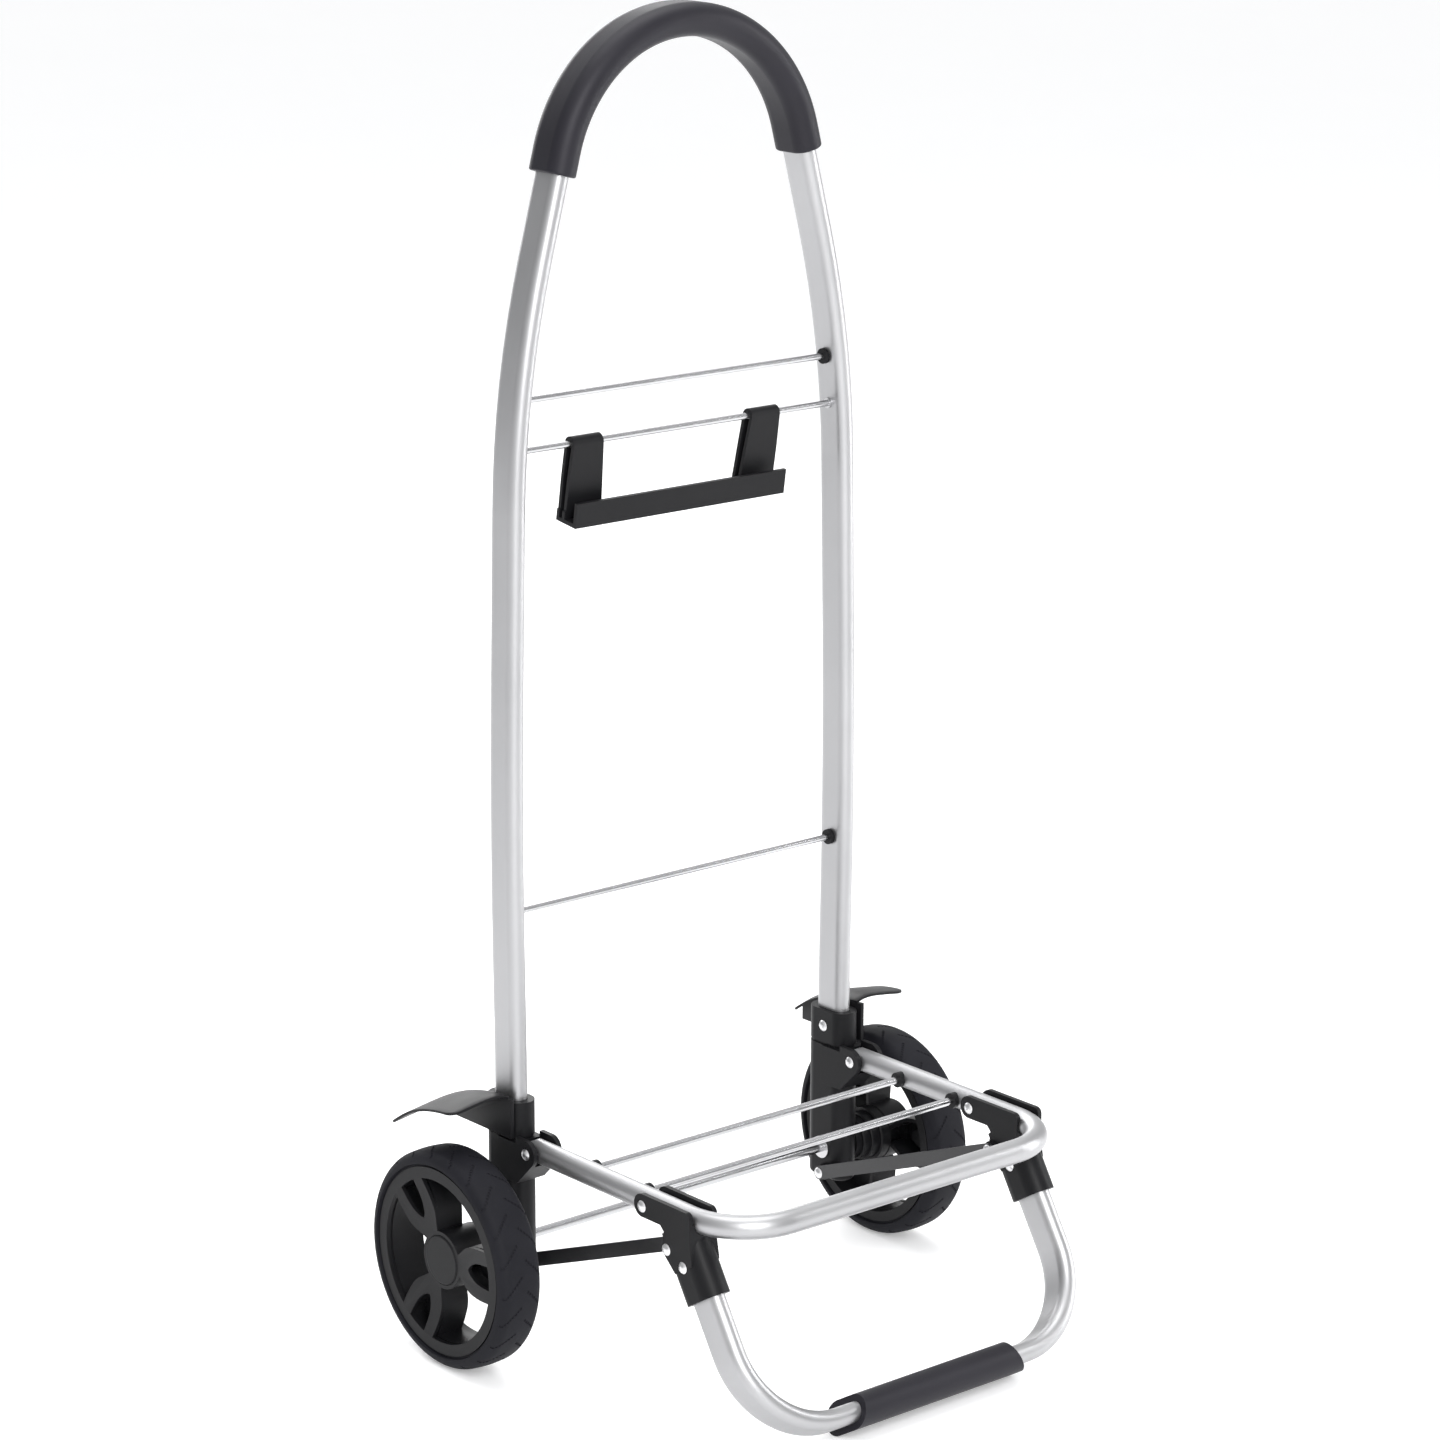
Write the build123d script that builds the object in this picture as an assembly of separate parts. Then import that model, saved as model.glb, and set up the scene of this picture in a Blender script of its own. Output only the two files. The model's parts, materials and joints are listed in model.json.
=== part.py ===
from build123d import *
from math import asin, cos, degrees, radians, sin, sqrt, tan
import os

# Folding two-wheeled bag trolley.  Millimetres, +Z up, +X to the right, the
# load platform reaches towards -Y.  The origin is on the floor, in the middle
# of the space that the trolley takes up.

# --- wheels and axle ---
WHEEL_D = 170.0
TYRE_W = 38.0
TYRE_SHOULDER = 9.0
RIM_D = 146.0
WHEEL_OUT_X = 235.0
RIM_WALL = 8.0
RIM_STEP = 1.5          # how far the rim's face lies inside the tyre's
DISH = 4.5              # how far the hub's face lies behind the rim's
SPOKES = 3
SPOKE_ANGLE = 55.0      # first spoke, measured from the rear towards the top
WEB_T = 3.0             # front plate and the walls round the windows
WEB_DEPTH = 28.0
WINDOW_IN_R = 22.5
WINDOW_LIP = 1.0        # left standing between a window and the barrel
POCKET_DEPTH = 14.0
# half width of a forked spoke, and of the pocket between its two legs, at a
# growing distance from the axle
SPOKE_AT = [(22.5, 8.5), (26.0, 10.4), (31.0, 13.3), (38.0, 17.0), (47.0, 19.3), (56.0, 20.0)]
SPOKE_END = 20.0
POCKET_AT = [(35.0, 0.6), (37.5, 3.2), (41.0, 5.4), (46.0, 7.4), (55.0, 8.9)]
POCKET_END = 9.4
HUB_D = 30.0
CAP_D = 39.0
CAP_T = 6.0
AXLE_D = 8.0
BUSH_D = 13.0
WASHER_D = 18.0
WASHER_T = 1.5
RETAINER_D = 15.0
RETAINER_T = 1.2

# --- handle frame ---
TUBE_DEEP = 30.0        # oval tube, front to back
TUBE_WIDE = 15.0
TUBE_WALL = 1.5
FRAME_X = 162.0         # half the distance between the two uprights
HANDLE_TOP = 992.0      # tube centre at the top of the bow
BOW_R = 116.7
BOW_SLANT = 15.0
NECK_Z = 740.0
NECK_R = 760.0
BELLY_Z = 400.0
BELLY_OUT = 2.6
BELLY_R = 6000.0
TOE_R = 4000.0
GRIP_WALL = 5.0
GRIP_END_Z = 889.0

# --- cross rods ---
ROD_D = 5.0
UPPER_ROD_Z = 728.0
HOOK_ROD_Z = 691.0
MIDDLE_ROD_Z = 344.0
BUSHING_D = 12.0
BUSHING_T = 3.5
BUSHING_NECK_D = 8.0
FLARE_D = 8.0
FLARE_T = 1.5

# --- wheel sockets ---
SOCKET_DEEP = 43.0
SOCKET_WIDE = 23.0
SOCKET_BOTTOM = 59.0
COLLAR_Z = 174.0
COLLAR_TOP = 201.0
GROOVE_H = 2.2
GROOVE_IN = 1.2
TUBE_SEAT_Z = 118.0     # how far down the upright stands in its socket
EAR_R = 10.5
EAR_T = 4.0
EAR_LOW_Z = 140.0

# --- mudguards ---
GUARD_R = 115.0         # from the axle to the outer lower edge
GUARD_CROWN = 4.0
GUARD_T = 2.5
GUARD_IN_X = 174.0
GUARD_OUT_X = 228.0
GUARD_FRONT = 12.0
GUARD_REAR = 61.0
GUARD_CORNER_R = 9.0
GUARD_PLATE_T = 3.0
GUARD_PLATE_REAR = 52.0

# --- platform ---
PIVOT_AHEAD = 34.0      # platform pivot, ahead of the axle
PLATFORM_Z = 166.0
ARM_D = 18.0
ARM_WALL = 1.5
FRONT_AHEAD = 261.8
CORNER_R = 50.0
PLATFORM_ROD_D = 6.0
REAR_ROD_AHEAD = 88.3
FRONT_ROD_AHEAD = 150.0
PLUG_DEEP = 14.0

# --- folding leg ---
LEG_TILT = 32.0         # from upright, foot forward
FOOT_AHEAD = 290.0
LEG_BEND_R = 68.0
FOOT_GRIP_X = 94.0
LEG_PIVOT_AHEAD = 171.0
CHEEK_T = 3.7
CHEEK_UP = 9.6
CHEEK_DOWN = 8.0
CHEEK_FRONT_AHEAD = 225.0
CHEEK_CORNER_R = 5.0
SLEEVE_WALL = 3.5
SLEEVE_LOW = 110.0      # sleeve's lower end, along the leg from the foot
LEG_TOP = 146.0
LEG_RIVET_AT = 137.0
BRACKET_TOP = 166.0

# --- struts ---
STRUT_W = 11.0
STRUT_T = 2.7
STRUT_X = 143.3         # inner face of each strut
STRUT_LOW_AHEAD = 4.5   # lower pivot, ahead of the axle
STRUT_LOW_Z = 65.5
STRUT_TOP_AHEAD = 198.9
STRUT_TOP_Z = 141.0
BOSS_D = 13.0

# --- fasteners ---
RIVET_D = 5.0
HEAD_D = 9.0
HEAD_H = 2.2

# --- bag hook rail ---
RAIL_OFFSET = -3.5
RAIL_HALF = 101.0
ARM_TOP_OUT = 99.0
ARM_TOP_IN = 72.0
ARM_LOW_IN = 66.0
RAIL_DROP = 60.0
RAIL_DEEP = 23.0
RAIL_WALL = 3.0
STRAP_GAP = 3.4
LIP_H = 19.0
BACK_H = 9.0
RAIL_LEAN = 8.5         # how far back it hangs, from its own balance

# --- clearances ---
RUN = 0.05              # radial, a pin that turns in its hole
SLIDE = 0.30            # between faces that move past one another
SEAT = 0.02             # radial, pieces pressed or moulded together
HEAD_GAP = 0.1          # between a rivet's head and the piece that turns under it

# --- values worked out from the sizes above ---
WHEEL_R = WHEEL_D / 2
AXLE_Z = WHEEL_R
WHEEL_IN_X = WHEEL_OUT_X - TYRE_W
RIM_OUT_X = WHEEL_OUT_X - RIM_STEP
RIM_IN_X = WHEEL_IN_X + RIM_STEP
SOCKET_OUT_X = FRAME_X + SOCKET_WIDE / 2
SOCKET_IN_X = FRAME_X - SOCKET_WIDE / 2
GRIP_WIDE = TUBE_WIDE + 2 * GRIP_WALL
GRIP_DEEP = TUBE_DEEP + 2 * GRIP_WALL
FLAT = (TUBE_DEEP - TUBE_WIDE) / 2
FOOT_Z = GRIP_WIDE / 2 + FLAT * sin(radians(LEG_TILT))
FOOT_REACH = GRIP_WIDE / 2 + FLAT * cos(radians(LEG_TILT))
AXLE_Y = (FOOT_AHEAD + FOOT_REACH - WHEEL_R) / 2
PIVOT_Y = AXLE_Y - PIVOT_AHEAD
FRONT_Y = AXLE_Y - FRONT_AHEAD
LEG_PIVOT_Y = AXLE_Y - LEG_PIVOT_AHEAD
STRUT_LOW_Y = AXLE_Y - STRUT_LOW_AHEAD
STRUT_TOP_Y = AXLE_Y - STRUT_TOP_AHEAD
ARM_R = ARM_D / 2
FORK_IN = ARM_R + SLIDE
EAR_OUT = FORK_IN + EAR_T
CHEEK_OUT = FORK_IN + CHEEK_T
STRUT_OUT_X = STRUT_X + STRUT_T
APEX_Z = HANDLE_TOP - BOW_R + BOW_R / sin(radians(BOW_SLANT))
GROOVE_Z = COLLAR_Z - GROOVE_H
HUB_IN_X = SOCKET_OUT_X + WASHER_T + SLIDE
CAP_OUT_X = RIM_OUT_X - DISH + 0.8
HUB_END_X = CAP_OUT_X - CAP_T
RETAINER_X = HUB_END_X + 0.2
AXLE_END_X = RETAINER_X + RETAINER_T + 1.0
HOOK_R = ROD_D / 2 + RUN

SIDES = {"left": -1, "right": 1}


# --- building blocks ---
def bar_x(diameter, x0, x1, y, z):
    """A round bar along X between x0 and x1."""
    middle = Pos((x0 + x1) / 2, y, z)
    return middle * Rot(0, 90, 0) * Cylinder(diameter / 2, abs(x1 - x0))


def slab_x(outline, x0, x1):
    """A side outline, drawn in Y and Z, made solid between x0 and x1."""
    low = min(x0, x1)
    return Pos(low, 0, 0) * extrude(Plane.YZ * outline, abs(x1 - x0), dir=(1, 0, 0))


def oval(deep, wide):
    """Flat-sided oval section, its long way along the sketch's X."""
    return SlotOverall(deep, wide)


def oval_column(deep, wide, z0, z1, x):
    """An upright with the flat-sided oval section, its long way along Y."""
    section = Pos(x, AXLE_Y, z0) * Rot(0, 0, 90) * oval(deep, wide)
    return extrude(section, z1 - z0)


def swept(path, section, across):
    """Section swept along a path; its own X lies along the direction given."""
    start = Plane(origin=path @ 0, x_dir=across, z_dir=path % 0)
    return sweep(start * section, path=path)


def rivet(y, z, face_x, tip_x):
    """A shank from tip_x to face_x with a low domed head outside the face."""
    ball = (HEAD_D ** 2 / 4 + HEAD_H ** 2) / (2 * HEAD_H)
    half_turn = asin(HEAD_D / 2 / ball) / 2
    shoulder = (HEAD_H - ball * (1 - cos(half_turn)), ball * sin(half_turn))
    shank = abs(face_x - tip_x)
    sides = Polyline((HEAD_H, 0), (-shank, 0), (-shank, RIVET_D / 2), (0, RIVET_D / 2), (0, HEAD_D / 2))
    dome = ThreePointArc((0, HEAD_D / 2), shoulder, (HEAD_H, 0))
    solid = revolve(make_face([*sides.edges(), *dome.edges()]), Axis.X)
    turn = 0 if face_x > tip_x else 180
    return Pos(face_x, y, z) * Rot(0, 0, turn) * solid


def hole(y, z, x0, x1, extra=0.0):
    """The hole that a rivet's shank goes through."""
    return bar_x(RIVET_D + 2 * extra, x0, x1, y, z)


def save(name, shape):
    """Write one sub-part, named by its node."""
    solids = shape.solids()
    part = solids[0] if len(solids) == 1 else Compound(children=list(solids))
    export_step(part, f"parts/{name}.step")


# --- handle frame ---
def handle_path():
    """Centreline of the handle tube, from the left socket to the right one."""
    neck_x = (APEX_Z - NECK_Z) * tan(radians(BOW_SLANT))
    half = [
        (-FRAME_X, TUBE_SEAT_Z),
        (-FRAME_X, COLLAR_TOP + 40),
        (-FRAME_X - BELLY_OUT, BELLY_Z),
        (-neck_x, NECK_Z),
    ]
    other = [(-x, z) for x, z in reversed(half)]
    points = half + [(0, APEX_Z)] + other
    radii = [TOE_R, BELLY_R, NECK_R, BOW_R, NECK_R, BELLY_R, TOE_R]
    path = FilletPolyline(*[(x, AXLE_Y, z) for x, z in points], radius=radii)
    return path.wire()


def bow_path():
    """Centreline of the part of the bow that the grip covers."""
    end_x = (APEX_Z - GRIP_END_Z) * tan(radians(BOW_SLANT))
    points = [(-end_x, AXLE_Y, GRIP_END_Z), (0, AXLE_Y, APEX_Z), (end_x, AXLE_Y, GRIP_END_Z)]
    return FilletPolyline(*points, radius=BOW_R).wire()


def upright_x(path, z):
    """Half the distance between the uprights' centrelines at a height."""
    low, high = 0.0, 0.5
    for _ in range(40):
        middle = (low + high) / 2
        if (path @ middle).Z < z:
            low = middle
        else:
            high = middle
    return abs((path @ low).X)


def make_handle():
    path = handle_path()
    outer = swept(path, oval(TUBE_DEEP, TUBE_WIDE), (0, 1, 0))
    inner = swept(path, oval(TUBE_DEEP - 2 * TUBE_WALL, TUBE_WIDE - 2 * TUBE_WALL), (0, 1, 0))
    tube = outer - inner
    bushings = []
    rods = {}
    for name, z in (("upper", UPPER_ROD_Z), ("hook", HOOK_ROD_Z), ("middle", MIDDLE_ROD_Z)):
        x = upright_x(path, z)
        face = x - TUBE_WIDE / 2
        rod = bar_x(ROD_D, -x, x, AXLE_Y, z)
        neck = BUSHING_NECK_D if name != "hook" else ROD_D
        for side in SIDES.values():
            tube -= bar_x(neck + 2 * SEAT, side * (face - 2), side * x, AXLE_Y, z)
            if name == "hook":
                rod += bar_x(FLARE_D, side * (face - FLARE_T), side * (face + 1), AXLE_Y, z) - outer
                continue
            flange = bar_x(BUSHING_D, side * (face - BUSHING_T), side * face, AXLE_Y, z)
            ring = flange - outer + bar_x(neck, side * (face - 1), side * (x - 1), AXLE_Y, z)
            bushings.append(ring - bar_x(ROD_D + 2 * SEAT, side * (face - 9), side * x, AXLE_Y, z))
        rods[name] = rod
    for side in SIDES.values():
        tube -= hole(AXLE_Y, collar_rivet_z(), side * (FRAME_X - 20), side * (FRAME_X + 20))
    save("handle_tube", tube)
    for name, rod in rods.items():
        save(f"{name}_cross_rod", rod)
    save("rod_bushings", Part() + bushings)
    sleeve = swept(bow_path(), oval(GRIP_DEEP, GRIP_WIDE), (0, 1, 0))
    bore = swept(bow_path(), oval(TUBE_DEEP + 2 * SEAT, TUBE_WIDE + 2 * SEAT), (0, 1, 0))
    save("handle_grip", sleeve - bore)


# --- wheel sockets, axle and mudguards ---
def collar_rivet_z():
    return (COLLAR_Z + COLLAR_TOP) / 2


def ear_outline():
    """Side outline of a platform ear and the gusset under it."""
    low_y = PIVOT_Y - EAR_R * sin(radians(45))
    low_z = PLATFORM_Z - EAR_R * sin(radians(45))
    fall = low_z - EAR_LOW_Z
    points = [
        (AXLE_Y, GROOVE_Z),
        (AXLE_Y - SOCKET_DEEP / 2, PLATFORM_Z + EAR_R),
        (PIVOT_Y, PLATFORM_Z + EAR_R),
        (low_y, low_z),
        (low_y + fall, EAR_LOW_Z),
        (AXLE_Y, EAR_LOW_Z),
    ]
    return Polygon(*points, align=None) + Pos(PIVOT_Y, PLATFORM_Z) * Circle(EAR_R)


def make_socket(side, name):
    x = side * FRAME_X
    body = oval_column(SOCKET_DEEP, SOCKET_WIDE, SOCKET_BOTTOM, COLLAR_TOP, x)
    body = fillet(body.edges().group_by(Axis.Z)[0], 4.0)
    groove = oval_column(SOCKET_DEEP + 8, SOCKET_WIDE + 8, GROOVE_Z, COLLAR_Z, x)
    groove -= oval_column(
        SOCKET_DEEP - 2 * GROOVE_IN, SOCKET_WIDE - 2 * GROOVE_IN, GROOVE_Z, COLLAR_Z, x
    )
    body -= groove
    ears = slab_x(ear_outline(), x - EAR_OUT, x + EAR_OUT)
    beside_collar = Pos(x, AXLE_Y - 0.6, GROOVE_Z + 20) * Box(40, SOCKET_DEEP, 40)
    body += ears - beside_collar
    fork_low = PLATFORM_Z - FORK_IN
    fork = Pos(x, PIVOT_Y, fork_low + 40) * Box(2 * FORK_IN, 2 * (SOCKET_DEEP / 2 - 9), 80)
    body -= fork
    seat = oval_column(TUBE_DEEP + 2 * SEAT, TUBE_WIDE + 2 * SEAT, TUBE_SEAT_Z, COLLAR_TOP + 1, x)
    body -= seat
    inner = side * STRUT_OUT_X + side * SLIDE
    body += bar_x(BOSS_D, inner, x, STRUT_LOW_Y, STRUT_LOW_Z)
    body -= bar_x(AXLE_D + 2 * SEAT, x - 40, x + 40, AXLE_Y, AXLE_Z)
    body -= hole(PIVOT_Y, PLATFORM_Z, x - 40, x + 40)
    body -= hole(AXLE_Y, collar_rivet_z(), x - 40, x + 40)
    body -= hole(STRUT_LOW_Y, STRUT_LOW_Z, inner - side * 1, x)
    save(f"socket_{name}", body)


def make_mudguard(side, name):
    half_w = (GUARD_OUT_X - GUARD_IN_X) / 2
    crown_r = (half_w ** 2 + GUARD_CROWN ** 2) / (2 * GUARD_CROWN)
    middle_x = (GUARD_IN_X + GUARD_OUT_X) / 2
    centre_r = GUARD_R + GUARD_CROWN - crown_r
    ring = Pos(middle_x, centre_r) * Circle(crown_r)
    ring -= Pos(middle_x, centre_r) * Circle(crown_r - GUARD_T)
    strip = Pos(middle_x, GUARD_R + GUARD_CROWN) * Rectangle(2 * half_w, 3 * GUARD_CROWN)
    section = Plane.XY * (ring & strip)
    front = degrees(asin(GUARD_FRONT / GUARD_R))
    rear = degrees(asin(GUARD_REAR / GUARD_R))
    blade = revolve(section, Axis.X, revolution_arc=front + rear)
    blade = Rot(90 - rear, 0, 0) * blade
    blade = Pos(0, AXLE_Y, AXLE_Z) * blade
    length = GUARD_FRONT + GUARD_REAR
    plan_y = AXLE_Y + (GUARD_REAR - GUARD_FRONT) / 2
    plan = Pos(middle_x, plan_y) * Rectangle(2 * half_w, length + 4)
    outer = plan.vertices().sort_by(Axis.X)[-2:]
    plan = fillet(outer, GUARD_CORNER_R)
    blade &= Pos(0, 0, AXLE_Z) * extrude(plan, 2 * GUARD_R)
    low = COLLAR_Z + 0.5
    top = AXLE_Z + GUARD_R + 6
    tip_z = AXLE_Z + sqrt((GUARD_R + 1) ** 2 - GUARD_REAR ** 2)
    sheet = Polygon(
        (AXLE_Y - GUARD_FRONT + 2, low),
        (AXLE_Y + GUARD_PLATE_REAR, low),
        (AXLE_Y + GUARD_REAR - 1, tip_z),
        (AXLE_Y + GUARD_REAR - 1, top),
        (AXLE_Y - GUARD_FRONT + 2, top),
        align=None,
    )
    plate = slab_x(sheet, GUARD_IN_X, GUARD_IN_X + GUARD_PLATE_T)
    plate &= bar_x(2 * (GUARD_R + 1.5), GUARD_IN_X - 5, GUARD_IN_X + 9, AXLE_Y, AXLE_Z)
    guard = blade + plate
    guard -= hole(AXLE_Y, collar_rivet_z(), SOCKET_OUT_X - 5, GUARD_IN_X + 9)
    if side < 0:
        guard = mirror(guard, Plane.YZ)
    save(f"mudguard_{name}", guard)


def make_axle():
    save("axle", bar_x(AXLE_D, -AXLE_END_X, AXLE_END_X, AXLE_Y, AXLE_Z))
    washers = []
    retainers = []
    for side in SIDES.values():
        bore = bar_x(AXLE_D + 2 * SEAT, side * 100, side * 260, AXLE_Y, AXLE_Z)
        for start in (SOCKET_OUT_X, SOCKET_IN_X - WASHER_T):
            disc = bar_x(WASHER_D, side * start, side * (start + WASHER_T), AXLE_Y, AXLE_Z)
            washers.append(disc - bore)
        nut = bar_x(RETAINER_D, side * RETAINER_X, side * (RETAINER_X + RETAINER_T), AXLE_Y, AXLE_Z)
        retainers.append(nut - bore)
    save("axle_washers", Part() + washers)
    save("axle_retainers", Part() + retainers)


# --- wheels ---
def turned(points, side):
    """A ring or disc with the given (x, radius) outline, turned on the axle."""
    outline = Polygon(*[(x, r) for x, r in points], align=None)
    solid = Pos(0, AXLE_Y, AXLE_Z) * revolve(outline, Axis.X)
    return mirror(solid, Plane.YZ) if side < 0 else solid


def ring_outline(x0, x1, r0, r1):
    return [(x0, r0), (x1, r0), (x1, r1), (x0, r1)]


def petal(stations, reach):
    """A closed outline along +X through (distance, half angle) stations."""
    upper = [(r * cos(half), r * sin(half)) for r, half in stations]
    lower = [(x, -y) for x, y in reversed(upper)]
    end = stations[0][0]
    inner = ThreePointArc(lower[-1], (end, 0), upper[0])
    outer = ThreePointArc(upper[-1], (reach, 0), lower[0])
    return make_face([inner, Spline(*upper), outer, Spline(*lower)])


def window_outline(reach, grow=0.0):
    """The opening between two spokes, or with grow the walls round it."""
    sixth = radians(180 / SPOKES)
    stations = [(r - grow if r == WINDOW_IN_R else r, half - grow) for r, half in SPOKE_AT]
    stations.append((reach, SPOKE_END - grow))
    return petal([(r, sixth - asin(half / r)) for r, half in stations], reach)


def pocket_outline(reach, grow=0.0):
    """The blind hollow between a spoke's two legs."""
    stations = POCKET_AT + [(reach, POCKET_END)]
    return petal([(r, asin((half + grow) / r)) for r, half in stations], reach)


def around_hub(outline, first):
    """The outline repeated once for each spoke, from a first angle on."""
    turns = [first + k * 360 / SPOKES for k in range(SPOKES)]
    return Sketch() + [Rot(0, 0, turn) * outline for turn in turns]


def make_rim(side):
    """Barrel, dished web with walled windows and blind pockets, and hub."""
    rim_r = RIM_D / 2
    reach = rim_r - RIM_WALL
    hub_r = HUB_D / 2
    cup_r = CAP_D / 2 + WEB_T
    face = RIM_OUT_X
    dish = face - DISH
    profile = [
        (RIM_IN_X, rim_r),
        (face, rim_r),
        (face, reach),
        (dish, cup_r),
        (dish, 0),
        (HUB_IN_X, 0),
        (HUB_IN_X, hub_r),
        (HUB_END_X - WEB_T, hub_r),
        (HUB_END_X - WEB_T, cup_r),
        (dish - WEB_T, cup_r),
        (face - WEB_T, reach),
        (RIM_IN_X, reach),
    ]
    rim = revolve(Polygon(*profile, align=None), Axis.X)
    lip_r = reach - WINDOW_LIP
    window = window_outline(lip_r)
    pocket = pocket_outline(lip_r)
    between = SPOKE_ANGLE + 180 / SPOKES
    walls = around_hub(window_outline(reach + WINDOW_LIP, WEB_T), between)
    rim += slab_x(walls, face - WEB_DEPTH, dish - 1)
    floor_x = face - POCKET_DEPTH
    rim += slab_x(around_hub(pocket_outline(reach, 1.0), SPOKE_ANGLE), floor_x - WEB_T, floor_x)
    rim -= slab_x(around_hub(window, between), RIM_IN_X - 9, face + 9)
    rim -= slab_x(around_hub(pocket, SPOKE_ANGLE), floor_x, face + 9)
    rim -= bar_x(BUSH_D + 2 * SEAT, HUB_IN_X - 9, face + 9, 0, 0)
    rim -= bar_x(CAP_D + 2 * SEAT, HUB_END_X, face + 9, 0, 0)
    rim = Pos(0, AXLE_Y, AXLE_Z) * rim
    return mirror(rim, Plane.YZ) if side < 0 else rim


def make_wheel(side, name):
    save(f"wheel_rim_{name}", make_rim(side))

    tyre_in = RIM_D / 2 + SEAT
    outline = Polygon(*ring_outline(WHEEL_IN_X, WHEEL_OUT_X, tyre_in, WHEEL_R), align=None)
    outline = fillet(outline.vertices().group_by(Axis.Y)[-1], TYRE_SHOULDER)
    tyre = Pos(0, AXLE_Y, AXLE_Z) * revolve(outline, Axis.X)
    save(f"tyre_{name}", mirror(tyre, Plane.YZ) if side < 0 else tyre)

    cup = [
        (HUB_END_X + SEAT, CAP_D / 2 - 3),
        (HUB_END_X + SEAT, CAP_D / 2),
        (CAP_OUT_X - 1, CAP_D / 2),
        (CAP_OUT_X, CAP_D / 2 - 1),
        (CAP_OUT_X, 0),
        (CAP_OUT_X - 1.8, 0),
        (CAP_OUT_X - 1.8, CAP_D / 2 - 3),
    ]
    save(f"hub_cap_{name}", turned(cup, side))
    bore_r = AXLE_D / 2 + RUN
    save(f"hub_bush_{name}", turned(ring_outline(HUB_IN_X, HUB_END_X, bore_r, BUSH_D / 2), side))


# --- platform ---
def platform_path():
    """Centreline of the platform tube, from the left pivot to the right one."""
    points = [
        (-FRAME_X, PIVOT_Y + ARM_R, PLATFORM_Z),
        (-FRAME_X, FRONT_Y, PLATFORM_Z),
        (FRAME_X, FRONT_Y, PLATFORM_Z),
        (FRAME_X, PIVOT_Y + ARM_R, PLATFORM_Z),
    ]
    return FilletPolyline(*points, radius=CORNER_R).wire()


def rounded_end(side):
    """Keeps what lies ahead of the pivot, or within the arm's radius of it."""
    x = side * FRAME_X
    ahead = Pos(x, PIVOT_Y - 250, PLATFORM_Z) * Box(400, 500, 60)
    return ahead + bar_x(ARM_D, x - 20, x + 20, PIVOT_Y, PLATFORM_Z)


def make_platform():
    path = platform_path()
    outer = swept(path, Circle(ARM_R), (1, 0, 0))
    inner = swept(path, Circle(ARM_R - ARM_WALL), (1, 0, 0))
    ends = rounded_end(-1) + rounded_end(1)
    tube = (outer - inner) & ends
    bushings = []
    plugs = []
    for side in SIDES.values():
        x = side * FRAME_X
        face = FRAME_X - ARM_R
        tube -= hole(PIVOT_Y, PLATFORM_Z, x - 20, x + 20, RUN)
        tube -= hole(LEG_PIVOT_Y, PLATFORM_Z, x - 20, x + 20)
        for ahead in (REAR_ROD_AHEAD, FRONT_ROD_AHEAD):
            y = AXLE_Y - ahead
            tube -= bar_x(BUSHING_NECK_D + 2 * SEAT, side * (face - 2), x, y, PLATFORM_Z)
            flange = bar_x(BUSHING_D, side * (face - BUSHING_T), side * (face + 4), y, PLATFORM_Z)
            arm = Pos(x, y, PLATFORM_Z) * Rot(90, 0, 0) * Cylinder(ARM_R + SEAT, 40)
            ring = flange - arm
            ring += bar_x(BUSHING_NECK_D, side * (face - 1), x - side * 2, y, PLATFORM_Z)
            bore = bar_x(PLATFORM_ROD_D + 2 * SEAT, side * (face - 9), x, y, PLATFORM_Z)
            bushings.append(ring - bore)
        plug = Pos(x, PIVOT_Y + ARM_R - PLUG_DEEP / 2, PLATFORM_Z) * Rot(90, 0, 0)
        plug *= Cylinder(ARM_R - ARM_WALL - SEAT, PLUG_DEEP)
        plugs.append((plug & ends) - hole(PIVOT_Y, PLATFORM_Z, x - 20, x + 20, RUN))
    save("platform_tube", tube)
    save("platform_rod_bushings", Part() + bushings)
    save("arm_end_plugs", Part() + plugs)
    for name, ahead in (("rear", REAR_ROD_AHEAD), ("front", FRONT_ROD_AHEAD)):
        end = FRAME_X - 3
        save(f"platform_rod_{name}", bar_x(PLATFORM_ROD_D, -end, end, AXLE_Y - ahead, PLATFORM_Z))


# --- folding leg ---
def leg_plane():
    """Lies in the leg: X across, Y up along the leg, from the foot's centre."""
    tilt = radians(LEG_TILT)
    foot = (0, AXLE_Y - FOOT_AHEAD, FOOT_Z)
    return Plane(origin=foot, x_dir=(1, 0, 0), z_dir=(0, -cos(tilt), sin(tilt)))


def leg_point(up, ahead=0.0):
    """Y and Z of a point up along the leg and ahead of its centreline."""
    tilt = radians(LEG_TILT)
    y = AXLE_Y - FOOT_AHEAD + up * sin(tilt) - ahead * cos(tilt)
    z = FOOT_Z + up * cos(tilt) + ahead * sin(tilt)
    return y, z


def leg_band(deep, wide, up0, up1, x):
    """A straight stretch of oval section that runs along the leg."""
    plane = leg_plane()
    start = plane.from_local_coords(Vector(x, up0, 0))
    along = plane.y_dir
    section_plane = Plane(origin=start, x_dir=plane.z_dir, z_dir=along)
    return extrude(section_plane * oval(deep, wide), up1 - up0)


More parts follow.
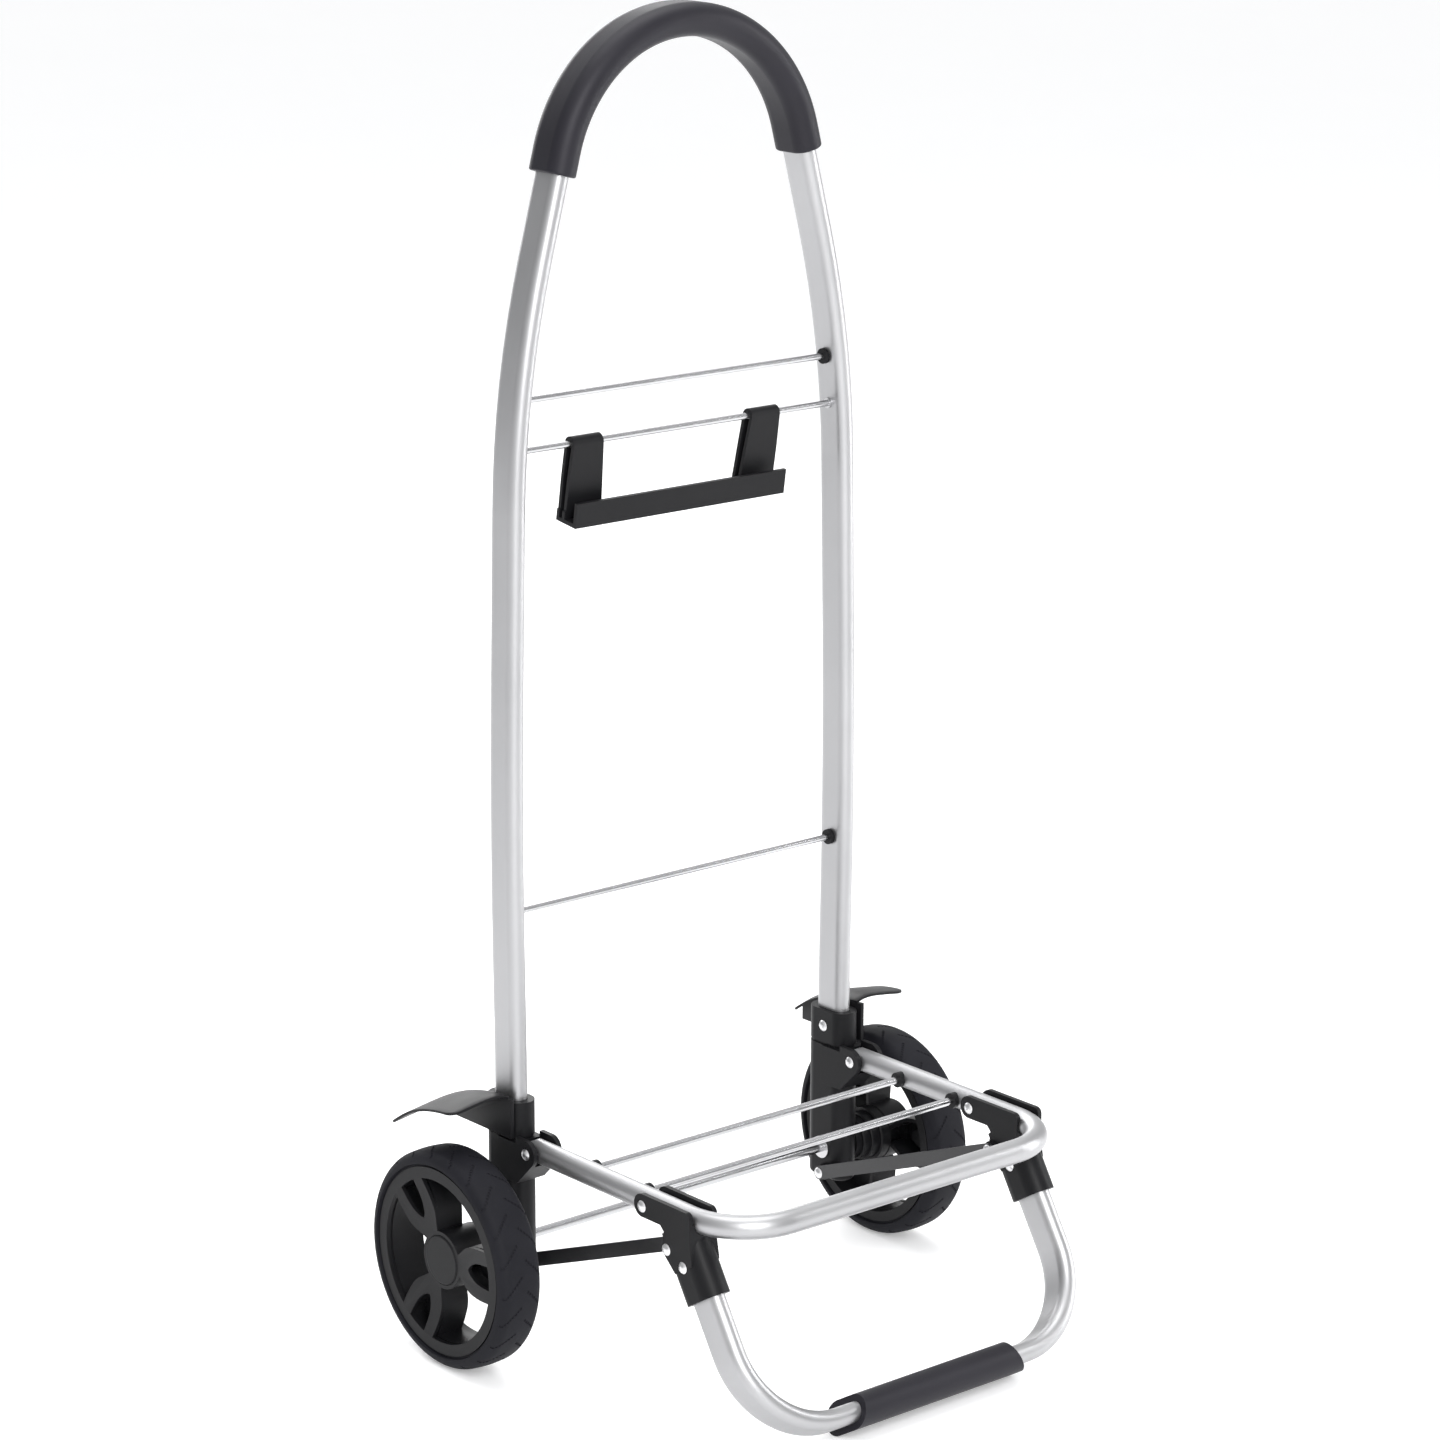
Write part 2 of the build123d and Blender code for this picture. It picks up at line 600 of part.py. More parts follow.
def bracket_outline():
    """Side outline of a leg bracket: two cheeks' plate and its shoulder."""
    back = SLEEVE_WALL + FLAT
    low_rear = leg_point(LEG_RIVET_AT - 2, -back)
    low_front = leg_point(LEG_RIVET_AT - 2, FLAT + SLEEVE_WALL)
    lug = (STRUT_TOP_Y + 5.0, STRUT_TOP_Z - 2.0)
    front = AXLE_Y - CHEEK_FRONT_AHEAD
    points = [
        (LEG_PIVOT_Y, PLATFORM_Z + CHEEK_UP),
        (front, PLATFORM_Z + CHEEK_UP),
        (front, PLATFORM_Z - 14),
        low_front,
        low_rear,
        lug,
        (STRUT_TOP_Y + 3.0, PLATFORM_Z - CHEEK_DOWN - 4),
        (STRUT_TOP_Y + 7.0, PLATFORM_Z - CHEEK_DOWN),
        (LEG_PIVOT_Y, PLATFORM_Z - CHEEK_DOWN),
    ]
    plate = Polygon(*points, align=None)
    corner = plate.vertices().sort_by_distance((front, PLATFORM_Z + CHEEK_UP))[0]
    plate = fillet(corner, CHEEK_CORNER_R)
    rear = Pos(LEG_PIVOT_Y, PLATFORM_Z + (CHEEK_UP - CHEEK_DOWN) / 2)
    return plate + rear * Circle((CHEEK_UP + CHEEK_DOWN) / 2)


def make_bracket(side, name):
    x = side * FRAME_X
    sleeve_deep = TUBE_DEEP + 2 * SLEEVE_WALL
    sleeve_wide = 2 * CHEEK_OUT
    plates = slab_x(bracket_outline(), x - CHEEK_OUT, x + CHEEK_OUT)
    shoulder = leg_band(sleeve_deep, sleeve_wide, SLEEVE_LOW, BRACKET_TOP, x)
    below_arm = Pos(x, LEG_PIVOT_Y, PLATFORM_Z - FORK_IN - 60) * Box(40, 400, 120)
    body = plates + (shoulder & below_arm)
    body -= swept(platform_path(), Circle(FORK_IN), (1, 0, 0))
    body -= Pos(x, LEG_PIVOT_Y, PLATFORM_Z + 20) * Box(2 * FORK_IN, 200, 40)
    room_front = STRUT_TOP_Y + 4.0
    room = Pos(x, room_front + 60, PLATFORM_Z - 15) * Box(2 * FORK_IN, 120, 40)
    body -= room
    body -= leg_band(TUBE_DEEP + 2 * SEAT, TUBE_WIDE + 2 * SEAT, SLEEVE_LOW - 1, LEG_TOP, x)
    inner = side * (STRUT_OUT_X + SLIDE)
    body += bar_x(BOSS_D, inner, x - side * 4, STRUT_TOP_Y, STRUT_TOP_Z)
    rivet_y, rivet_z = leg_point(LEG_RIVET_AT)
    body -= hole(LEG_PIVOT_Y, PLATFORM_Z, x - 20, x + 20, RUN)
    body -= hole(rivet_y, rivet_z, x - 20, x + 20)
    body -= hole(STRUT_TOP_Y, STRUT_TOP_Z, x - 20, x + 20)
    save(f"leg_bracket_{name}", body)


def make_leg():
    plane = leg_plane()
    corners = [(-FRAME_X, LEG_TOP), (-FRAME_X, 0), (FRAME_X, 0), (FRAME_X, LEG_TOP)]
    points = [plane.from_local_coords(Vector(x, up, 0)) for x, up in corners]
    path = FilletPolyline(*points, radius=LEG_BEND_R).wire()
    across = plane.z_dir
    outer = swept(path, oval(TUBE_DEEP, TUBE_WIDE), across)
    inner = swept(path, oval(TUBE_DEEP - 2 * TUBE_WALL, TUBE_WIDE - 2 * TUBE_WALL), across)
    tube = outer - inner
    y, z = leg_point(LEG_RIVET_AT)
    for side in SIDES.values():
        tube -= hole(y, z, side * (FRAME_X - 20), side * (FRAME_X + 20))
    save("leg_tube", tube)
    start = plane.from_local_coords(Vector(-FOOT_GRIP_X, 0, 0))
    section_plane = Plane(origin=start, x_dir=across, z_dir=(1, 0, 0))
    sleeve = extrude(section_plane * oval(GRIP_DEEP, GRIP_WIDE), 2 * FOOT_GRIP_X)
    bore = swept(path, oval(TUBE_DEEP + 2 * SEAT, TUBE_WIDE + 2 * SEAT), across)
    save("foot_grip", sleeve - bore)


# --- struts and fasteners ---
def strut_outline():
    """A flat bar with round ends between the strut's two pivots."""
    low = Vector(STRUT_LOW_Y, STRUT_LOW_Z)
    top = Vector(STRUT_TOP_Y, STRUT_TOP_Z)
    middle = (low + top) / 2
    run = top - low
    angle = degrees(asin(run.Y / run.length))
    bar = SlotCenterToCenter(run.length, STRUT_W)
    return Pos(middle.X, middle.Y) * Rot(0, 0, 180 - angle) * bar


def make_strut(side, name):
    bar = slab_x(strut_outline(), side * STRUT_X, side * STRUT_OUT_X)
    bar -= hole(STRUT_LOW_Y, STRUT_LOW_Z, side * 130, side * 160, RUN)
    bar -= hole(STRUT_TOP_Y, STRUT_TOP_Z, side * 130, side * 160)
    save(f"strut_{name}", bar)
    stub = rivet(STRUT_TOP_Y, STRUT_TOP_Z, side * STRUT_X, side * STRUT_OUT_X)
    save(f"strut_rivet_{name}", stub)


def make_rivets():
    collar = []
    pivot = []
    low = []
    bracket = []
    leg = []
    top = []
    leg_y, leg_z = leg_point(LEG_RIVET_AT)
    for side in SIDES.values():
        x = side * FRAME_X
        guard = side * (GUARD_IN_X + GUARD_PLATE_T)
        collar.append(rivet(AXLE_Y, collar_rivet_z(), side * SOCKET_IN_X, guard))
        for group, y, z, half in (
            (pivot, PIVOT_Y, PLATFORM_Z, EAR_OUT),
            (bracket, LEG_PIVOT_Y, PLATFORM_Z, CHEEK_OUT + HEAD_GAP),
            (leg, leg_y, leg_z, CHEEK_OUT),
        ):
            group.append(rivet(y, z, x + half, x) + rivet(y, z, x - half, x))
        head = side * (STRUT_X - HEAD_GAP)
        low.append(rivet(STRUT_LOW_Y, STRUT_LOW_Z, head, side * (FRAME_X - 1)))
        flush = side * (STRUT_OUT_X + SLIDE)
        top.append(rivet(STRUT_TOP_Y, STRUT_TOP_Z, x + side * CHEEK_OUT, flush))
    save("collar_rivets", Part() + collar)
    save("platform_pivot_rivets", Part() + pivot)
    save("strut_lower_rivets", Part() + low)
    save("bracket_pivot_rivets", Part() + bracket)
    save("leg_rivets", Part() + leg)
    save("strut_upper_rivets", Part() + top)


# --- bag hook rail ---
def make_rail():
    rod = Pos(AXLE_Y, HOOK_ROD_Z)
    back = HOOK_R + RAIL_WALL
    low = HOOK_ROD_Z - RAIL_DROP
    front = AXLE_Y + back - RAIL_DEEP
    strap_front = AXLE_Y + back - 2 * RAIL_WALL - STRAP_GAP
    loop = rod * Circle(back)
    loop += Polygon(
        (AXLE_Y - back, HOOK_ROD_Z),
        (AXLE_Y + back, HOOK_ROD_Z),
        (AXLE_Y + back, low),
        (strap_front, low),
        align=None,
    )
    slit = Polygon(
        (AXLE_Y - HOOK_R, HOOK_ROD_Z),
        (AXLE_Y + HOOK_R, HOOK_ROD_Z),
        (AXLE_Y + back - RAIL_WALL, low + RAIL_WALL),
        (strap_front + RAIL_WALL, low + RAIL_WALL),
        align=None,
    )
    slit += rod * Circle(HOOK_R)
    tray = Polygon(
        (AXLE_Y + back, low + BACK_H),
        (AXLE_Y + back, low),
        (front, low),
        (front, low + LIP_H),
        (front + RAIL_WALL, low + LIP_H),
        (front + RAIL_WALL, low + RAIL_WALL),
        (strap_front, low + RAIL_WALL),
        (strap_front, low + BACK_H),
        align=None,
    )
    hollow = Polygon(
        (strap_front + RAIL_WALL, low + RAIL_WALL),
        (AXLE_Y + back - RAIL_WALL, low + RAIL_WALL),
        (AXLE_Y + back - RAIL_WALL, low + BACK_H + 1),
        (strap_front + RAIL_WALL, low + BACK_H + 1),
        align=None,
    )
    body = slab_x(tray - hollow, -RAIL_HALF, RAIL_HALF)
    for side in SIDES.values():
        arm = slab_x(loop - slit, side * ARM_LOW_IN, side * (ARM_TOP_OUT + 1))
        taper = Polygon(
            (side * ARM_LOW_IN, low - 1),
            (side * RAIL_HALF, low - 1),
            (side * ARM_TOP_OUT, HOOK_ROD_Z + back + 1),
            (side * ARM_TOP_IN, HOOK_ROD_Z + back + 1),
            align=None,
        )
        wedge = Pos(0, AXLE_Y, 0) * extrude(Plane.XZ * taper, 50, both=True)
        body += arm & wedge
    to_rod = Pos(RAIL_OFFSET, AXLE_Y, HOOK_ROD_Z)
    from_rod = Pos(0, -AXLE_Y, -HOOK_ROD_Z)
    save("bag_hook_rail", to_rod * Rot(RAIL_LEAN, 0, 0) * from_rod * body)


os.makedirs("parts", exist_ok=True)
make_handle()
for side_name, side_sign in SIDES.items():
    make_socket(side_sign, side_name)
    make_mudguard(side_sign, side_name)
    make_wheel(side_sign, side_name)
    make_bracket(side_sign, side_name)
    make_strut(side_sign, side_name)
make_axle()
make_platform()
make_leg()
make_rivets()
make_rail()
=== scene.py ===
"""Looks of a folding two-wheeled bag trolley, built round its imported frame."""

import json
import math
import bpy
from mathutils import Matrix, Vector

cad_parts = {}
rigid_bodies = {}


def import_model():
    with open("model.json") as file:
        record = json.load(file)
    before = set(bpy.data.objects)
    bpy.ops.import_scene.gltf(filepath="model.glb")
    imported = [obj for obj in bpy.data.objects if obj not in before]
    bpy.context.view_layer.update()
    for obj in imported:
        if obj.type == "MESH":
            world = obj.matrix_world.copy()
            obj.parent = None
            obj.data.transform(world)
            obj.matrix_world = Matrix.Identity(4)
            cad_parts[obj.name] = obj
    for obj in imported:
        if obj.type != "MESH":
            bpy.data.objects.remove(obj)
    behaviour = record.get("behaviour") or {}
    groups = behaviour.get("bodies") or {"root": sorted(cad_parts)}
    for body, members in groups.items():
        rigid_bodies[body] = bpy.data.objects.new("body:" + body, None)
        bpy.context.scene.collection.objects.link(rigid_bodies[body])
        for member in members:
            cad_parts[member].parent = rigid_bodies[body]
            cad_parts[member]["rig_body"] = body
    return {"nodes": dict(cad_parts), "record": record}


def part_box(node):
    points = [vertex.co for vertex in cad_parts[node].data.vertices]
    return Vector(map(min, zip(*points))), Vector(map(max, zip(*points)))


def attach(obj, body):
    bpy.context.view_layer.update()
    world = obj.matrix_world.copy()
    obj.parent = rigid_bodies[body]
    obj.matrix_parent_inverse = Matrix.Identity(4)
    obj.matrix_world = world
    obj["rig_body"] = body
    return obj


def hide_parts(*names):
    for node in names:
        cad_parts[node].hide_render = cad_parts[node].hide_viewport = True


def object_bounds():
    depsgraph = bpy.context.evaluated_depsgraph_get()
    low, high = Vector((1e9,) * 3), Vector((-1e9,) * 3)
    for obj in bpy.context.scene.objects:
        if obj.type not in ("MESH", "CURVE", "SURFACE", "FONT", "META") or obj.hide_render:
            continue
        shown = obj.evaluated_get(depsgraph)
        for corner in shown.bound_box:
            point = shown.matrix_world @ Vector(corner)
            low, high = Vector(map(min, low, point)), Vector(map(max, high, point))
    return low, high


bl_info = {
    "name": "Folding bag trolley",
    "version": (1, 0, 0),
    "blender": (4, 5, 0),
    "location": "View3D > Sidebar > Trolley",
    "description": "Builds the tyres, mudguards, moulded parts and finishes of a bag trolley",
    "category": "Object",
}

import bpy
from mathutils import Vector

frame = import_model()
CAD_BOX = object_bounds()
NODES = frame["nodes"]

MM = 0.001
SIDES = {"left": -1, "right": 1}
AXLE = (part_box("axle")[0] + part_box("axle")[1]) / 2
TYRE_LOW, TYRE_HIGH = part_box("tyre_right")
WHEEL_R = TYRE_HIGH.z - AXLE.z
FLOOR_Z = CAD_BOX[0].z


# --- shader maths ---
class Term:
    """A value in a material. Arithmetic on it adds the Math nodes."""

    def __init__(self, recipe, socket):
        self.recipe = recipe
        self.socket = socket

    def _math(self, operation, first, second):
        return self.recipe.term("ShaderNodeMath", {"operation": operation}, {0: first, 1: second})

    def __add__(self, other):
        return self._math("ADD", self, other)

    def __radd__(self, other):
        return self._math("ADD", other, self)

    def __mul__(self, other):
        return self._math("MULTIPLY", self, other)

    def __rmul__(self, other):
        return self._math("MULTIPLY", other, self)


class Recipe:
    """One material. Every node in it is added by put()."""

    def __init__(self, name):
        self.material = bpy.data.materials.new(name)
        self.material.use_nodes = True
        self.tree = self.material.node_tree
        self.shader = self.tree.nodes["Principled BSDF"]
        self.place = self.put("ShaderNodeTexCoord").outputs["Object"]

    def join(self, socket, value):
        if isinstance(value, Term):
            value = value.socket
        if isinstance(value, bpy.types.NodeSocket):
            self.tree.links.new(value, socket)
        else:
            socket.default_value = value

    def put(self, kind, settings=None, inputs=None):
        node = self.tree.nodes.new(kind)
        for key, value in (settings or {}).items():
            setattr(node, key, value)
        for key, value in (inputs or {}).items():
            self.join(node.inputs[key], value)
        return node

    def term(self, kind, settings=None, inputs=None):
        return Term(self, self.put(kind, settings, inputs).outputs[0])

    def noise(self, scale, detail=2.0, stretch=(1, 1, 1), rough=0.5):
        """Cloudy noise, as many cells in a metre as scale says."""
        where = self.put("ShaderNodeMapping", None, {"Vector": self.place, "Scale": stretch})
        inputs = {"Vector": where.outputs[0], "Scale": scale, "Detail": detail, "Roughness": rough}
        return self.term("ShaderNodeTexNoise", None, inputs)

    def blend(self, amount, first, second):
        node = self.put("ShaderNodeMix", {"data_type": "RGBA"}, {0: amount})
        node.inputs[6].default_value = (*first, 1)
        node.inputs[7].default_value = (*second, 1)
        return node.outputs[2]

    def relief(self, height, depth, strength=1.0):
        """Turns a height between 0 and 1 into bumps as deep as depth."""
        inputs = {"Height": height, "Distance": depth, "Strength": strength}
        self.join(self.shader.inputs["Normal"], self.term("ShaderNodeBump", None, inputs))

    def surface(self, **sockets):
        for key, value in sockets.items():
            self.join(self.shader.inputs[key.replace("_", " ")], value)
        return self.material


# --- finishes ---
def satin_tube():
    """Anodised aluminium tube: satin, with faint handling marks."""
    recipe = Recipe("satin anodised tube")
    cloud = recipe.noise(14, 3)
    grain = recipe.noise(900, 2, (1, 1, 0.25))
    tint = recipe.blend(cloud, (0.37, 0.37, 0.378), (0.44, 0.44, 0.448))
    recipe.relief(grain, 0.02 * MM, 0.5)
    return recipe.surface(Base_Color=tint, Metallic=1.0, Roughness=0.36 + 0.08 * cloud + 0.06 * grain)


def bright_rod():
    """Drawn steel rod with a bright zinc coat and fine lengthwise lines."""
    recipe = Recipe("bright zinc rod")
    lines = recipe.noise(1500, 2, (0.01, 1, 1))
    cloud = recipe.noise(40, 2)
    tint = recipe.blend(cloud, (0.46, 0.46, 0.47), (0.58, 0.58, 0.59))
    recipe.relief(lines, 0.02 * MM, 0.6)
    return recipe.surface(Base_Color=tint, Metallic=1.0, Roughness=0.16 + 0.14 * lines)


def rivet_metal():
    """Plated rivet head with fine marks."""
    recipe = Recipe("plated rivet")
    marks = recipe.noise(420, 3)
    tint = recipe.blend(marks, (0.55, 0.55, 0.56), (0.80, 0.80, 0.81))
    recipe.relief(marks, 0.08 * MM, 0.5)
    return recipe.surface(Base_Color=tint, Metallic=1.0, Roughness=0.20 + 0.22 * marks)


def moulded_plastic():
    """Black moulded plastic: fine spark grain and slightly uneven gloss."""
    recipe = Recipe("black moulded plastic")
    spark = recipe.noise(1700, 2)
    cloud = recipe.noise(30, 3)
    tint = recipe.blend(cloud, (0.005, 0.005, 0.006), (0.009, 0.009, 0.010))
    recipe.relief(spark, 0.05 * MM, 0.6)
    recipe.shader.inputs["Specular IOR Level"].default_value = 0.14
    return recipe.surface(Base_Color=tint, Roughness=0.34 + 0.12 * cloud + 0.08 * spark)


def soft_grip():
    """Closed-cell foam with a smooth skin and small pores."""
    recipe = Recipe("black foam grip")
    pores = recipe.noise(1300, 3)
    cloud = recipe.noise(24, 2)
    tint = recipe.blend(cloud, (0.006, 0.0055, 0.0085), (0.011, 0.0105, 0.0145))
    recipe.relief(pores, 0.10 * MM, 0.6)
    recipe.shader.inputs["Specular IOR Level"].default_value = 0.28
    recipe.shader.inputs["Specular Tint"].default_value = (0.96, 0.94, 1.0, 1)
    return recipe.surface(Base_Color=tint, Roughness=0.40 + 0.12 * cloud + 0.08 * pores)


def tyre_rubber():
    """Solid rubber: dull, greyer where it has been handled."""
    recipe = Recipe("black tyre rubber")
    dust = recipe.noise(45, 4)
    pores = recipe.noise(1100, 2)
    tint = recipe.blend(dust, (0.006, 0.006, 0.008), (0.013, 0.013, 0.017))
    recipe.relief(pores, 0.08 * MM, 0.6)
    recipe.shader.inputs["Specular IOR Level"].default_value = 0.12
    return recipe.surface(Base_Color=tint, Roughness=0.52 + 0.22 * dust + 0.05 * pores)


def strut_paint():
    """Thin black paint with a slight orange peel."""
    recipe = Recipe("black strut paint")
    peel = recipe.noise(260, 2)
    tint = recipe.blend(peel, (0.010, 0.010, 0.011), (0.015, 0.015, 0.017))
    recipe.relief(peel, 0.04 * MM, 0.5)
    return recipe.surface(Base_Color=tint, Roughness=0.30 + 0.12 * peel)


def studio_floor():
    recipe = Recipe("studio floor")
    cloud = recipe.noise(3, 3)
    tint = recipe.blend(cloud, (0.83, 0.83, 0.835), (0.86, 0.86, 0.865))
    recipe.shader.inputs["Emission Color"].default_value = (1, 1, 1, 1)
    recipe.shader.inputs["Emission Strength"].default_value = 0.26
    return recipe.surface(Base_Color=tint, Roughness=0.55 + 0.05 * cloud)


MAKERS = {
    "tube": satin_tube,
    "rod": bright_rod,
    "rivet": rivet_metal,
    "plastic": moulded_plastic,
    "grip": soft_grip,
    "tyre": tyre_rubber,
    "strut": strut_paint,
    "floor": studio_floor,
}
FINISHES = {}


def finish(slot):
    if slot not in FINISHES:
        FINISHES[slot] = MAKERS[slot]()
    return FINISHES[slot]


# --- work on meshes ---
def only(piece):
    """Leaves piece alone selected and active, in object mode."""
    if bpy.context.object and bpy.context.object.mode != "OBJECT":
        bpy.ops.object.mode_set(mode="OBJECT")
    bpy.ops.object.select_all(action="DESELECT")
    piece.select_set(True)
    bpy.context.view_layer.objects.active = piece


def trace(name, points):
    """A new object, left in edit mode, with a chain of edges through points."""
    if bpy.context.object and bpy.context.object.mode != "OBJECT":
        bpy.ops.object.mode_set(mode="OBJECT")
    bpy.ops.object.select_all(action="DESELECT")
    bpy.ops.mesh.primitive_plane_add(size=MM)
    piece = bpy.context.object
    piece.name = name
    bpy.ops.object.mode_set(mode="EDIT")
    bpy.ops.mesh.select_mode(type="VERT")
    bpy.ops.mesh.select_all(action="SELECT")
    bpy.ops.mesh.merge(type="CENTER")
    bpy.ops.transform.translate(value=points[0])
    for start, end in zip(points, points[1:]):
        step = Vector(end) - Vector(start)
        bpy.ops.mesh.extrude_vertices_move(TRANSFORM_OT_translate={"value": step})
    bpy.ops.mesh.select_all(action="SELECT")
    return piece


def tidy(piece):
    """Closes seams and points the faces outwards."""
    bpy.ops.mesh.select_all(action="SELECT")
    bpy.ops.mesh.remove_doubles(threshold=0.01 * MM)
    bpy.ops.mesh.normals_make_consistent(inside=False)
    bpy.ops.object.mode_set(mode="OBJECT")
    return piece


def turned(name, profile, steps=120):
    """A closed (x, radius) profile spun round the axle."""
    loop = profile + profile[:1]
    trace(name, [(x, AXLE.y, AXLE.z + r) for x, r in loop])
    bpy.ops.mesh.spin(steps=steps, angle=2 * math.pi, center=(0, AXLE.y, AXLE.z), axis=(1, 0, 0))
    return tidy(bpy.context.object)


def pick(piece, wanted, kind="FACE"):
    """Enters edit mode with the faces or edges selected that wanted() likes."""
    only(piece)
    mesh = piece.data
    bpy.ops.object.mode_set(mode="EDIT")
    bpy.ops.mesh.select_mode(type=kind)
    bpy.ops.mesh.select_all(action="DESELECT")
    bpy.ops.object.mode_set(mode="OBJECT")
    chosen = mesh.polygons if kind == "FACE" else mesh.vertices
    for part in chosen:
        part.select = wanted(part)
    bpy.ops.object.mode_set(mode="EDIT")


def modify(piece, kind, **settings):
    only(piece)
    modifier = piece.modifiers.new(kind.lower(), kind)
    for key, value in settings.items():
        setattr(modifier, key, value)
    bpy.ops.object.modifier_apply(modifier=modifier.name)


def smooth(piece, angle=35):
    only(piece)
    bpy.ops.object.shade_smooth_by_angle(angle=math.radians(angle))


def fit(piece, body, slot, *replaced):
    """Gives a finished piece its body, its finish and the nodes it stands for."""
    piece.data.materials.clear()
    piece.data.materials.append(finish(slot))
    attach(piece, body)
    if replaced:
        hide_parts(*replaced)
    return piece


def softened(node, name, width, slot, angle=30, shape=None):
    """A copy of a CAD node, cut by shape() and with its edges rounded, which stands for it."""
    source = NODES[node]
    body = source["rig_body"]
    only(source)
    bpy.ops.object.duplicate()
    piece = bpy.context.object
    piece.parent = None
    for key in list(piece.keys()):
        del piece[key]
    piece.name = name
    bpy.ops.object.mode_set(mode="EDIT")
    bpy.ops.mesh.select_all(action="SELECT")
    bpy.ops.mesh.remove_doubles(threshold=0.005 * MM)
    bpy.ops.mesh.dissolve_limited(angle_limit=math.radians(0.6))
    if shape:
        shape(node)
    bpy.ops.object.mode_set(mode="OBJECT")
    modify(
        piece,
        "BEVEL",
        width=width,
        segments=3,
        limit_method="ANGLE",
        angle_limit=math.radians(angle),
        harden_normals=False,
        miter_outer="MITER_ARC",
    )
    smooth(piece, 40)
    modify(piece, "WEIGHTED_NORMAL", keep_sharp=True)
    return fit(piece, body, slot, node)


# --- settings ---
class TrolleySizes(bpy.types.PropertyGroup):
    """Sizes of the pieces that are modelled here."""

    tread_depth: bpy.props.FloatProperty(
        name="Tread depth",
        description="How deep the grooves round a tyre are",
        default=0.5 * MM,
        unit="LENGTH",
    )
    tread_pitches: bpy.props.IntProperty(
        name="Tread pitches",
        description="How many times the tread pattern comes round a tyre",
        default=22,
    )
    shoulder: bpy.props.FloatProperty(
        name="Tyre shoulder",
        description="Radius of the tyre's rounded shoulders",
        default=9 * MM,
        unit="LENGTH",
    )
    guard_wall: bpy.props.FloatProperty(
        name="Mudguard thickness",
        description="Thickness of the mudguard's blade",
        default=2.2 * MM,
        unit="LENGTH",
    )
    edge: bpy.props.FloatProperty(
        name="Moulded edge",
        description="Radius that moulded parts have along their edges",
        default=0.8 * MM,
        unit="LENGTH",
    )


class TrolleyStudio(bpy.types.PropertyGroup):
    """Light and camera."""

    key_power: bpy.props.FloatProperty(
        name="Key light", description="Power of the main soft light", default=110.0, unit="POWER"
    )
    sky: bpy.props.FloatVectorProperty(
        name="Sky",
        description="Colour of the light from all round",
        default=(0.96, 0.965, 0.97),
        subtype="COLOR",
    )
    sides: bpy.props.FloatVectorProperty(
        name="Sides",
        description="Colour of the light from both sides of the object",
        default=(0.42, 0.425, 0.43),
        subtype="COLOR",
    )
    lens: bpy.props.FloatProperty(
        name="Lens", description="Focal length in millimetres", default=109.5
    )
    distance: bpy.props.FloatProperty(
        name="Distance",
        description="How far the camera stands from its target",
        default=3.2907,
        unit="LENGTH",
    )


# --- wheels ---
def arc(centre, radius, start, end, count):
    """Points on an arc, as (x, radius) pairs; angles in degrees."""
    angles = [start + (end - start) * k / count for k in range(count + 1)]
    return [
        (centre[0] + radius * math.cos(math.radians(a)), centre[1] + radius * math.sin(math.radians(a)))
        for a in angles
    ]


BEAD_R = 73.1 * MM
RIM_GROOVE = 3.0 * MM
LIP = 1.6 * MM
LIP_WALL = 0.5 * MM
CROWN_RISE = 0.6 * MM
TREAD_COLUMNS = 10
TREAD_STEPS = 12
TREAD_REACH = 4.2 * MM
PLAIN_COLUMNS = 0.9
STEP_NUDGE = 0.01


def tyre_profile(side, sizes):
    """Closed section of a tyre, from the bead over the tread and back."""
    low, high = TYRE_LOW.x, TYRE_HIGH.x
    shoulder = sizes.shoulder
    crown = WHEEL_R - CROWN_RISE
    right = arc((high - shoulder, crown - shoulder), shoulder, 0, 90, 8)
    left = arc((low + shoulder, crown - shoulder), shoulder, 90, 180, 8)
    run = [
        (
            right[-1][0] + (left[0][0] - right[-1][0]) * k / TREAD_COLUMNS,
            crown + CROWN_RISE * math.sin(math.pi * k / TREAD_COLUMNS),
        )
        for k in range(1, TREAD_COLUMNS)
    ]
    lip_round, lip_top = BEAD_R + 1.3 * LIP, BEAD_R + 1.8 * LIP
    points = [(high - RIM_GROOVE, BEAD_R), (high - RIM_GROOVE, BEAD_R + LIP)]
    points += [(high - LIP_WALL, lip_round), (high, lip_top)]
    points += right + run + left
    points += [(low, lip_top), (low + LIP_WALL, lip_round)]
    points += [(low + RIM_GROOVE, BEAD_R + LIP), (low + RIM_GROOVE, BEAD_R)]
    return [(side * x, r) for x, r in points]


def make_tyre(side, name, sizes):
    """A tyre with slanted grooves pressed into both sides of its tread."""
    steps = TREAD_STEPS * sizes.tread_pitches
    tyre = turned(f"tyre_{name}_tread", tyre_profile(side, sizes), steps)
    middle = side * (TYRE_LOW.x + TYRE_HIGH.x) / 2
    column = (TYRE_HIGH.x - TYRE_LOW.x - 2 * sizes.shoulder) / TREAD_COLUMNS

    def groove(face):
        x, y, z = face.center
        radius = math.hypot(y - AXLE.y, z - AXLE.z)
        away = abs(x - middle) / column
        if radius < WHEEL_R - TREAD_REACH or away < PLAIN_COLUMNS:
            return False
        turn = math.atan2(z - AXLE.z, y - AXLE.y) / (2 * math.pi) * steps
        slant = away if x > middle else away + TREAD_STEPS / 2
        return math.floor(turn - slant + STEP_NUDGE) % TREAD_STEPS == 0

    pick(tyre, groove)
    bpy.ops.mesh.extrude_region_shrink_fatten(
        TRANSFORM_OT_shrink_fatten={"value": -sizes.tread_depth}
    )
    bpy.ops.object.mode_set(mode="OBJECT")
    smooth(tyre, 38)
    fit(tyre, f"wheel_{name}", "tyre", f"tyre_{name}")


